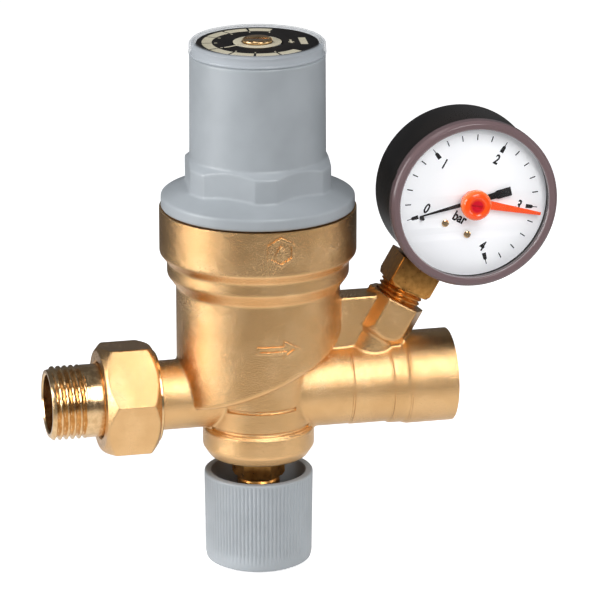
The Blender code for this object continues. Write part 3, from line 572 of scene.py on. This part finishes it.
def castBody():
    neckR = body["neckR"]
    neck = lathe([(0, 12), (neckR, 12), (neckR, -10.2, 0.4), (15.9, -10.7), (15.9, -16.2, 0.7),
                  (13.9, -19.2, 0.7), (0, -19.2)], 96)
    inlet = lathe([(0, -6), (9.9, -6), (9.9, -33), (0, -33)], 64, alongX)
    barrel = lathe([(0, 56.5), (13.3, 56.5), (13.3, 41.7), (12.8, 41.1), (12.8, 37.1), (12.3, 36.5),
                    (12.3, 25.6), (12.1, 25.0), (12.1, 6), (0, 6)], 96, alongX)
    bridge = block((10, -4.2, 0), (34, 4.2, 26.3), upright, 0.5)
    web = block((-17, -6.4, -8), (-9, 6.4, 0), upright, 1.5)
    obj = softened([castShell(), neck, inlet, barrel, bridge, web, gaugeBoss()], "castBody",
                   body["voxel"], body["softPasses"], body["keep"])
    cutters = [
        block((-40, -40, body["rimTop"]), (40, 40, 60)),        # levels the rim
        block((55.7, -20, -20), (60, 20, 20)),                  # squares the outlet's end
        lathe([(0, 56), (24.5, 56), (24.5, 46), (19.5, 46), (19.5, 26), (12.6, 26), (12.6, 8),
               (7, 8), (7, 6), (12, 6), (12, -14), (6.9, -14), (6.9, -21), (0, -21)], 96),
        lathe([(0, -9), (6, -9), (6, -40), (0, -40)], 48, alongX),
        # cast way from the regulated chamber, through the bridge, down to the outlet bore
        block((14.8, -2.9, 16), (20, 2.9, 27)),
        block((14.9, -2.8, 16.1), (27.5, 2.8, 21.9)),
        block((22.7, -2.6, -3), (27.3, 2.6, 21.3)),
        lathe([(0, 2), (6.62, 2), (6.62, -10.3), (0, -10.3)], 48, bossTop),
        lathe([(0, -9), (1.5, -9), (1.5, -21.5), (0, -21.5)], 24, bossTop)]
    cutters += [grooveCut(neckR + 0.1, body["grooveR"], atHeight(z), middle - sweep / 2, sweep)
                for z, sweep in body["grooves"] for middle in (97, 262)]
    cutters += [grooveCut(12.85, 0.45, alongX @ atHeight(36.7), -132, 264),
                grooveCut(13.5, 0.45, alongX @ atHeight(41.9), -150, 300),
                grooveCut(12.45, 0.5, alongX @ atHeight(25.2), -148, 296)]
    socket = lathe([(0, 57), (10.5, 57), (9.5, 55.9)] + [(9.5, x) for x in rows(55.6, 43.2, 0.16)]
                   + [(9.5, 43), (8.9, 42.6), (8.9, 22.5), (0, 22.5)], 96, alongX)
    thread(socket, alongX, 1.814, 0.9, 9.5, 43.4, 57.5, True)
    cutters.append(socket)
    obj = carve(obj, "DIFFERENCE", cutters, "castBody", finishes["cast_brass"], 38)
    attach(obj, "valve", "cast_brass", "valve_body")


def unionThread():
    # machined collar and thread that the union nut runs on
    bm = lathe([(9.4, -29.8, 0.25), (13.1, -29.8, 0.4), (13.1, -31.5)]
               + [(13.1, x) for x in rows(-31.7, -40.4, 0.24)] + [(12.7, -41), (8.2, -41), (8.2, -35),
               (9.4, -33)], 96, alongX)
    thread(bm, alongX, 1.5, 0.55, 13.1, -41.0, -32.0)
    attach(toObject(bm, "unionThread", machinedBrass), "valve", "cast_brass")


marks = {"height": 0.5, "sunk": 0.5, "arrow": (0.6, 18.4), "emblem": (0.3, 48.3)}


def relief(outlines, middle, radius, back=False):
    # raised lines that follow the wall of an upright cylinder
    plate = flat(outlines, 0, marks["height"] + marks["sunk"], upright, 0.12)
    bmesh.ops.subdivide_edges(plate, edges=plate.edges, cuts=1)
    for vert in plate.verts:
        x, y, z = vert.co / mm
        angle = (x + middle[0]) / radius
        out = radius - marks["sunk"] + z
        side = 1 if back else -1
        across = math.sin(angle) * out
        vert.co = Vector((across, side * math.cos(angle) * out, y + middle[1])) * mm
    bmesh.ops.recalc_face_normals(plate, faces=plate.faces)
    return plate


def castMarks():
    arrow = [(-6.0, 1.0), (1.6, 1.0), (1.6, 2.5), (6.2, 0), (1.6, -2.5), (1.6, -1.0), (-6.0, -1.0)]
    inner = [(-5.4, 0.45), (2.1, 0.45), (2.1, 1.5), (5.0, 0), (2.1, -1.5), (2.1, -0.45), (-5.4, -0.45)]
    outer = [polar(4.3, 60 * i + 30) for i in range(6)]
    hole = [polar(3.5, 60 * i + 30) for i in range(6)]
    drop = [polar(1.5, a, (0, -0.5)) for a in range(165, 376, 15)] + [(0, 2.0)]
    shapes = []
    for back in (False, True):
        shapes.append(relief([arrow, inner], marks["arrow"], body["shellR"], back))
        shapes.append(relief([outer, hole], marks["emblem"], body["rimR"], back))
        shapes.append(relief([drop], marks["emblem"], body["rimR"], back))
    attach(toObject(joined(shapes), "castMarks", finishes["cast_brass"]), "valve", "cast_brass")


castBody()
unionThread()
castMarks()
print("cast body done")


nut = {"flats": 30.0, "left": -46.3, "right": -30.8, "twist": 21.0, "voxel": 0.3}


def unionNut():
    left, right = nut["left"], nut["right"]
    form = lathe([(0, right), (14.3, right), (17.5, -33.5), (17.5, -43.3), (14.1, left), (0, left)],
                 96, alongX)
    blank = carve(toObject(form, "nutForm"), "INTERSECT",
                  [prism(6, nut["flats"], left - 1, right + 1, nut["twist"], alongX)])
    obj = softened([toBmesh(blank)], "unionNut", nut["voxel"], 3, 0.6)
    bore = lathe([(0, -30), (13.4, -30), (13.4, -44.3), (10.85, -44.3), (10.85, -47), (0, -47)], 96, alongX)
    chamfer = lathe([(0, -45.9), (11.0, -45.9), (11.6, -46.8), (0, -46.8)], 96, alongX)
    obj = carve(obj, "DIFFERENCE", [bore, chamfer], "unionNut", finishes["cast_brass"], 38)
    attach(obj, "union_nut", "cast_brass", "union_nut")


def tailpiece():
    threadRows = [(10.48, x) for x in rows(-50.9, -59.9, 0.15)]
    bm = lathe([(8.2, -42.9), (12.9, -42.9, 0.2), (12.9, -44.0, 0.2), (10.35, -44.0, 0.2), (10.35, -50.6)]
               + threadRows + [(9.5, -61.0, 0.15), (8.6, -61.0), (8.2, -60.6)]
               + [(8.2, x) for x in rows(-58, -44, 2)], 128, alongX)
    thread(bm, alongX, 1.814, 1.05, 10.48, -60.6, -50.8)
    attach(toObject(bm, "tailpiece", machinedBrass), "valve", "cast_brass", "union_tailpiece")


unionNut()
tailpiece()
print("inlet union done")


cover = {"flats": 39.6, "twist": 23.6, "voxel": 0.36}


def springCover():
    wall = lathe([(0, 99.95), (18.1, 99.95), (18.1, 98.2), (19.0, 98.2), (19.2, 64), (19.35, 61.2),
                  (21.0, 60.4), (27.3, 57.7, 0.7), (27.3, 54.3, 0.3), (0, 54.3)], 128)
    form = lathe([(0, 69.4), (18.6, 69.4), (21.3, 67.2, 0.5), (21.3, 55), (0, 55)], 128)
    hexagon = carve(toObject(form, "hexForm"), "INTERSECT",
                    [prism(6, cover["flats"], 55.2, 75, cover["twist"])])
    obj = softened([wall, toBmesh(hexagon)], "springCover", cover["voxel"], 1, 0.6)
    hollow = lathe([(0, 53), (20.0, 53), (20.0, 56), (16.6, 60), (16.6, 95.5), (4.4, 95.5), (4.4, 101),
                    (0, 101)], 96)
    seam = block((-40, -40, 50), (40, 40, 54.32))
    obj = carve(obj, "DIFFERENCE", [hollow, seam], "springCover", finishes["grey_plastic"], 40)
    attach(obj, "valve", "grey_plastic", "spring_cover")
    skirt = lathe([(20.0, 54.3), (24.2, 54.3), (24.2, 48.6), (20.0, 48.6)], 96)
    attach(toObject(skirt, "coverSkirt", finishes["grey_plastic"]), "valve", "grey_plastic")


def clearLid():
    bm = lathe([(5.5, 101.95, 0.15), (18.4, 101.95, 0.6), (19.1, 101.2, 0.4), (19.1, 99.2, 0.15),
                (19.25, 98.9, 0.1), (19.25, 98.5, 0.1), (18.5, 98.5), (18.5, 101.2, 0.2),
                (18.1, 101.55), (5.5, 101.55)], 128)
    attach(toObject(bm, "clearLid", finishes["clear_plastic"]), "valve", "clear_plastic", "clear_lid")


scale = {"low": 60.0, "high": 310.0, "segments": 9, "gap": 2.6, "inner": 12.7, "outer": 15.5,
         "labelTop": 101.25}


def scaleLabel():
    top = scale["labelTop"]
    disc = lathe([(7.2, top), (17.1, top, 0.1), (17.1, 99.96), (7.2, 99.96)], 96)
    attach(toObject(disc, "scaleLabel", finishes["label_black"]), "valve", "label_black", "setting_scale")
    bands = []
    low, high = 101.23, 101.30                        # the print stands a little proud of the label
    step = (scale["high"] - scale["low"]) / scale["segments"]
    for i in range(scale["segments"]):
        start = scale["low"] + i * step
        bands.append(flat([arcBand(scale["inner"], scale["outer"], start + scale["gap"] / 2,
                                   start + step - scale["gap"] / 2)], low, high))
        bands.append(flat([arcBand(11.2, 12.0, start - 0.8, start + 0.8, 2)], low, high))
    turn = Matrix.Rotation(math.radians(-6), 4, "Z")
    bands.append(flat([[(11.8, -3.6), (13.8, -3.6), (13.8, 3.6), (11.8, 3.6)]], low, high, turn))
    bands.append(flat([[(8.6, -1.2), (10.2, -1.2), (10.2, -0.5), (8.6, -0.5)]], low, high, turn))
    bands.append(flat([[(9.1, -2.0), (9.7, -2.0), (9.7, 1.6), (9.1, 1.6)]], low, 101.31, turn))
    attach(toObject(joined(bands), "scaleMarks", finishes["cream_plastic"]), "valve", "cream_plastic")


def settingPointer():
    edge = [polar(6.75, a) for a in range(5, 356, 5)]
    tip = [(11.0, -0.12), (11.0, 0.12)]
    bm = flat([edge + [polar(6.75, 357), tip[0], tip[1], polar(6.75, 3)], ring(4.5)], 101.34, 101.46,
              Matrix.Rotation(math.radians(202), 4, "Z"), 0.05)
    attach(toObject(bm, "pointerRing", finishes["cream_plastic"]), "setting_screw", "cream_plastic",
          "setting_pointer")


def settingScrew():
    form = lathe([(0, 102.5), (3.8, 102.5, 0.3), (4.2, 102.1, 0.2), (4.2, 101.45), (4.1, 101.45),
                  (4.1, 95.2), (6.5, 95.2), (6.5, 93.7), (3.9, 93.7)]
                 + [(3.9, z) for z in rows(93, 73, 0.25)] + [(3.4, 72), (0, 72)], 64)
    thread(form, upright, 6.0, 0.8, 3.9, 72.5, 93.4)
    slot = block((-6, -0.7, 101.2), (6, 0.7, 103.5), Matrix.Rotation(math.radians(-13.4), 4, "Z"))
    obj = carve(toObject(form, "settingScrew"), "DIFFERENCE", [slot], "settingScrew",
                machinedBrass)
    obj = eased(obj, 0.12, 50, "settingScrew", machinedBrass)
    attach(obj, "setting_screw", "turned_brass", "setting_screw")


springCover()
clearLid()
scaleLabel()
settingPointer()
settingScrew()
print("spring cover done")


knob = {"radius": 15.5, "ribs": 84, "ribDepth": 0.32, "top": -24.3, "ribHigh": -24.9,
        "ribLow": -47.2, "bottom": -51.0}


def controlKnob():
    top, bottom, ribHigh, ribLow = (knob[key] for key in ("top", "bottom", "ribHigh", "ribLow"))
    wall = [(knob["radius"] - 0.3 * i / 12, z) for i, z in enumerate(rows(-25.6, -47.4, 1.8))]
    bm = lathe([(13.4, top, 0.3), (15.45, top, 0.5)] + wall
               + [(15.2, -48.6), (14.9, -50.2, 0.8), (13.3, bottom, 0.6), (4.3, bottom, 0.3),
                  (4.3, -47.6), (1.8, -47.6), (1.8, -44.6), (2.6, -44.6), (2.6, -29.3),
                  (6.6, -29.3, 0.3), (6.9, -38, 0.5), (13.2, -38, 0.5)], knob["ribs"] * 6)
    for vert in bm.verts:
        x, y, z = vert.co / mm
        radius = math.hypot(x, y)
        if radius < 14.6 or z > ribHigh or z < ribLow - 0.4:
            continue
        wave = 0.5 - 0.5 * math.cos(math.atan2(y, x) * knob["ribs"])
        share = min((ribHigh - z) / 0.6, (z - ribLow + 0.4) / 0.5, 1.0)
        scaleBy = (radius - knob["ribDepth"] * wave ** 1.6 * share) / radius
        vert.co = Vector((x * scaleBy, y * scaleBy, z)) * mm
    attach(toObject(bm, "controlKnob", finishes["grey_plastic"], 45), "shutoff_knob", "grey_plastic",
          "control_knob")


def shutoffStem():
    form = lathe([(0, -20.3), (7.2, -20.3), (7.6, -20.9), (7.6, -25.0), (6.9, -25.7), (0, -25.7)], 64)
    hexagon = carve(toObject(form, "glandForm"), "INTERSECT", [prism(6, 13.0, -25.7, -20.6, -16.0)])
    hexagon = carve(hexagon, "UNION", [lathe([(0, -9.5), (6.6, -9.5), (6.6, -21), (0, -21)], 64)])
    obj = carve(hexagon, "DIFFERENCE", [
        prism(6, 9.3, -17.6, -9),
        lathe([(0, -17), (3.3, -17), (3.3, -21.3), (4.7, -21.3), (4.7, -23.1), (3.3, -23.1), (3.3, -27),
               (0, -27)], 48)], "glandNut", finishes["turned_brass"])
    attach(obj, "valve", "cast_brass", "gland_nut")
    collar = lathe([(3.3, -26.2, 0.1), (5.7, -26.2, 0.3), (6.1, -27.0, 0.3), (6.1, -29.0, 0.3),
                    (3.3, -29.0)], 64)
    attach(toObject(collar, "spindleCollar", finishes["turned_brass"]), "shutoff_knob", "turned_brass",
          "spindle_collar")


controlKnob()
shutoffStem()
print("shut-off knob done")


dialMarks = {"zero": 193.3, "perBar": 67.5, "tickOuter": 19.35, "minor": 1.7, "dialFront": 13.8,
             "tilt": -30}                             # degrees, and bar on the scale
needleAngle = 192.3
limitAngle = 346.6


def gaugeCase():
    bm = lathe([(0, -3.9), (22.0, -3.9, 0.5), (22.0, 15.2), (22.9, 15.2, 0.2), (23.4, 14.6, 0.2),
                (23.4, -4.3, 1.0), (22.2, -5.5, 0.8), (0, -5.5)], 128, atGauge)
    neck = lathe([(0, -18), (3.5, -18), (3.5, -25.5), (0, -25.5)], 48, alongStem)
    obj = carve(toObject(bm, "gaugeCase"), "DIFFERENCE", [neck], "gaugeCase", finishes["black_plastic"])
    attach(obj, "valve", "black_plastic", "gauge_case")


def gaugeWindow():
    bm = lathe([(1.6, 16.6), (21.2, 16.6, 0.2), (21.9, 17.5, 0.3), (23.2, 17.6, 0.5), (24.1, 16.7, 0.5),
                (24.1, 14.2, 0.2), (23.9, 13.9), (23.7, 13.9), (23.7, 15.4), (23.3, 15.8), (1.6, 15.8)],
               128, atGauge)
    notches = [block((-1.2, 23.2, 13), (1.2, 25.0, 14.8),
                     atGauge @ Matrix.Rotation(math.radians(a), 4, "Z")) for a in (68, 188, 308)]
    obj = carve(toObject(bm, "gaugeWindow"), "DIFFERENCE", notches, "gaugeWindow", windowFinish)
    attach(obj, "valve", "clear_plastic", "gauge_window")


def gaugeDial():
    screwPlaces = [polar(9.75, 240 + side * 22.3) for side in (-1, 1)]
    front = dialMarks["dialFront"]
    disc = flat([ring(21.7, (0, 0), 128), ring(1.7), ring(0.8, polar(15.0, needleAngle + 3.4), 16)]
                + [ring(1.0, p, 24) for p in screwPlaces], front - 0.6, front, atGauge, 0.05)
    attach(toObject(disc, "gaugeDial", finishes["dial_white"]), "valve", "dial_white", "gauge_dial")
    prints = []
    low, high = front - 0.01, front + 0.03
    outer = dialMarks["tickOuter"]
    tilt = dialMarks["tilt"]
    for i in range(21):
        angle = dialMarks["zero"] - dialMarks["perBar"] * i / 5
        turn = atGauge @ Matrix.Rotation(math.radians(angle), 4, "Z")
        if i % 5:
            prints.append(flat([[(outer - dialMarks["minor"], -0.16), (outer, -0.16), (outer, 0.16),
                                 (outer - dialMarks["minor"], 0.16)]], low, high, turn))
            continue
        line = [(outer - 1.2, -0.12), (outer, -0.12), (outer, 0.12), (outer - 1.2, 0.12)]
        drop = [(outer - 3.4, -0.6), (outer - 1.6, -0.5), (outer - 1.2, -0.1), (outer - 1.2, 0.1),
                (outer - 1.6, 0.5), (outer - 3.4, 0.6)]
        prints += [flat([line], low, high, turn), flat([drop], low, high, turn)]
    numerals = {"0": 13.2, "1": 13.8, "2": 13.5, "3": 13.8, "4": 13.9}
    for count, (text, radius) in enumerate(numerals.items()):
        angle = dialMarks["zero"] - dialMarks["perBar"] * count
        if count == 0:
            angle -= 7
        prints.append(letters(text, 4.0, polar(radius, angle), tilt, low, high, atGauge, 0.72))
    prints.append(letters("bar", 3.9, (-3.5, -4.8), tilt, low, high, atGauge, 0.8))
    attach(toObject(joined(prints), "dialPrint", finishes["needle_black"]), "valve", "needle_black")
    for name, spot in zip(("dial_screw_left", "dial_screw_right"), screwPlaces):
        at = atGauge @ Matrix.Translation((spot[0] * mm, spot[1] * mm, 0))
        head = lathe([(0, 14.3), (0.75, 14.3, 0.1), (1.05, 14.15, 0.1), (1.05, 14.0), (0.65, 14.0),
                      (0.65, 10.9), (0, 10.9)], 24, at)
        attach(toObject(head, name.replace("_", ""), machinedBrass), "valve", "turned_brass", name)


def needle():
    half = [(15.6, 0.12), (3.2, 0.55), (2.4, 1.0), (1.6, 1.8), (0, 2.4), (-1.8, 1.7), (-3.2, 0.75),
            (-6.8, 0.9), (-7.4, 1.2), (-11.4, 1.25)]
    outline = half + [(x, -y) for x, y in reversed(half)]
    turn = atGauge @ Matrix.Rotation(math.radians(needleAngle), 4, "Z")
    bm = flat([outline, ring(1.2)], 14.6, 14.9, turn, 0.04)
    attach(toObject(bm, "needle", finishes["needle_black"]), "needle", "needle_black", "gauge_pointer")


def limitMark():
    turn = atGauge @ Matrix.Rotation(math.radians(limitAngle), 4, "Z")
    half = [(20.2, 0.38), (19.6, 0.42), (4.0, 1.25), (3.5, 1.4), (2.2, 2.8), (0, 3.5), (-2.2, 2.8),
            (-3.5, 0.8)]
    arm = flat([half + [(x, -y) for x, y in reversed(half)]], 15.15, 15.5, turn, 0.05)
    hub = lathe([(0, 19.9), (2.3, 19.9, 0.3), (2.7, 20.2, 0.2), (3.7, 19.9, 0.4), (4.3, 19.0, 0.5),
                 (4.3, 17.35, 0.2), (1.25, 17.3), (1.25, 15.25), (0, 15.25)], 64, turn)
    slot = block((-1.9, -0.35, 19.5), (1.9, 0.35, 21), turn)
    whole = carve(toObject(hub, "limitHub"), "DIFFERENCE", [slot])
    whole = carve(whole, "UNION", [arm], "limitMark", finishes["orange_plastic"])
    attach(whole, "limit_mark", "orange_plastic", "limit_pointer")


stem = {"flats": 13.0, "top": -23.9, "shoulder": -32.3, "threadR": 6.58, "pitch": 1.337}


def gaugeStem():
    shoulder, threadR = stem["shoulder"], stem["threadR"]
    form = lathe([(0, -22.8), (9.0, -22.8), (9.0, -31.0), (8.0, shoulder), (0, shoulder)], 96, alongStem)
    square = carve(toObject(form, "stemForm"), "INTERSECT",
                   [prism(4, stem["flats"], shoulder, stem["top"], 45.0, alongStem)])
    square = eased(square, 0.25, 40)
    screwed = lathe([(0, -31.5), (threadR, -31.5)] + [(threadR, z) for z in rows(-31.7, -45.0, 0.13)]
                    + [(5.6, -46.0), (0, -46.0)], 96, alongStem)
    thread(screwed, alongStem, stem["pitch"], 0.85, threadR, -46, -31.8)
    neck = lathe([(0, -20), (3.1, -20), (3.1, -26), (0, -26)], 48, alongStem)
    holder = block((-4.8, -4.9, -21.0), (4.8, 3.5, -12.3), alongStem, 0.3)
    square = carve(square, "UNION", [neck, holder, screwed])
    bore = lathe([(0, -16), (1.5, -16), (1.5, -47), (0, -47)], 24, alongStem)
    obj = carve(square, "DIFFERENCE", [bore], "gaugeStem", finishes["turned_brass"], 35)
    attach(obj, "valve", "turned_brass", "gauge_socket")


gaugeCase()
gaugeWindow()
gaugeDial()
needle()
limitMark()
gaugeStem()
print("gauge done")


def outward(azimuth, elevation):
    # azimuth 0 is in front of the gauge's dial and grows towards the outlet
    a, e = math.radians(azimuth), math.radians(elevation)
    return Vector((math.sin(a) * math.cos(e), -math.cos(a) * math.cos(e), math.sin(e)))


def areaLight(name, azimuth, elevation, distance, width, height, power):
    away = outward(azimuth, elevation)
    data = bpy.data.lights.new(name, "AREA")
    data.shape = "RECTANGLE"
    data.size = width
    data.size_y = height
    data.energy = power
    light = bpy.data.objects.new(name, data)
    light.location = Vector((0.01, 0, 0.03)) + away * distance
    light.rotation_euler = away.to_track_quat("Z", "Y").to_euler()
    bpy.context.scene.collection.objects.link(light)


def flexing(nodeName, name, body="valve", cutHeight=None, keepUpper=False):
    # an inner soft piece, copied from its CAD node, cut at cutHeight when one is given, and moved with body
    bm = bmesh.new()
    bm.from_mesh(nodes[nodeName].data)
    bmesh.ops.transform(bm, matrix=nodes[nodeName].matrix_world, verts=bm.verts)
    bmesh.ops.remove_doubles(bm, verts=bm.verts, dist=0.000001)
    if cutHeight:
        bmesh.ops.bisect_plane(
            bm, geom=bm.verts[:] + bm.edges[:] + bm.faces[:], dist=0.0000001, plane_co=(0, 0, cutHeight),
            plane_no=(0, 0, 1), clear_inner=keepUpper, clear_outer=not keepUpper)
        bmesh.ops.holes_fill(bm, edges=[e for e in bm.edges if e.is_boundary], sides=0)
        bmesh.ops.recalc_face_normals(bm, faces=bm.faces)
    slotName = slotOf[nodeName]
    obj = toObject(bm, name, finishes[slotName])
    attach(obj, body, slotName, nodeName)
    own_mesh(obj)


springMiddle = 0.0658                             # metres; each half follows its own end
flexing("setting_spring", "settingSpringUpper",
        "valve", springMiddle, True)
flexing("setting_spring", "settingSpringLower",
        "obturator", springMiddle)
flexing("diaphragm", "diaphragmSheet")
flexing("check_valve_spring", "checkSpring")
print("inner springs done")


lights = {                                        # azimuth, elevation, distance, width, height, power
    "leftSoftbox": (-84, 12, 0.9, 0.50, 0.8, 10.5),
    "frontSoftbox": (12, 38, 1.1, 0.42, 0.80, 8.5),
    "rightFill": (66, 8, 1.2, 0.45, 0.7, 3.4),
    "topSoftbox": (-50, 66, 1.1, 0.35, 0.35, 0.9)}


def studio():
    # the floor shows near white to the camera and dimmer, away from the valve, in reflections
    bm = bmesh.new()
    bmesh.ops.create_grid(bm, x_segments=1, y_segments=1, size=4.0)
    bmesh.ops.translate(bm, verts=bm.verts, vec=(0, 0, cadBox[0].z - 0.0002))
    floorFinish = Finish("paleFloor", 0.75)
    speckle = floorFinish.noise(30, 3)
    pale = floorFinish.mix(speckle, (0.90, 0.90, 0.90), (0.93, 0.93, 0.93))
    floorFinish.set({"Base Color": pale, "Emission Color": (1, 1, 1, 1), "Emission Strength": 0.7})
    away = floorFinish.radius((0.012, 0, 0), "XY").ramp(0.10, 0.30)
    dim = floorFinish.node("ShaderNodeBsdfPrincipled", None, {
        "Base Color": floorFinish.mix(away, (0.62, 0.62, 0.62), (0.05, 0.05, 0.05)), "Roughness": 0.8,
        "Emission Color": floorFinish.mix(away, (1.0, 1.0, 1.0), (0.15, 0.145, 0.14)),
        "Emission Strength": 0.34})
    seen = floorFinish.node("ShaderNodeLightPath", out="Is Camera Ray")
    lit = Value(floorFinish, floorFinish.shader.outputs[0])
    both = floorFinish.node("ShaderNodeMixShader", None, {0: seen, 1: dim, 2: lit})
    floorFinish.tree.links.new(both.socket, floorFinish.tree.nodes["Material Output"].inputs[0])
    toObject(bm, "floor", floorFinish.material)
    world = bpy.data.worlds.new("studio")
    world.use_nodes = True
    world.node_tree.nodes["Background"].inputs["Color"].default_value = (0.80, 0.84, 0.90, 1)
    world.node_tree.nodes["Background"].inputs["Strength"].default_value = 0.15
    bpy.context.scene.world = world
    for name, values in lights.items():
        areaLight(name, *values)


view = {"azimuth": -13.4, "elevation": 17.6, "distance": 1.3, "lens": 275.3, "target": (12.18, 0, 25.25)}


def camera():
    # long lens, a little left of and above the valve
    target = Vector(view["target"]) * mm
    back = outward(view["azimuth"], view["elevation"])
    data = bpy.data.cameras.new("camera")
    data.lens = view["lens"]
    data.sensor_width = 36
    data.clip_start = 0.05
    made = bpy.data.objects.new("camera", data)
    made.location = target + back * view["distance"]
    made.rotation_euler = back.to_track_quat("Z", "Y").to_euler()
    bpy.context.scene.collection.objects.link(made)
    bpy.context.scene.camera = made


studio()
camera()
bpy.context.scene.view_settings.view_transform = "Standard"
print("studio done")
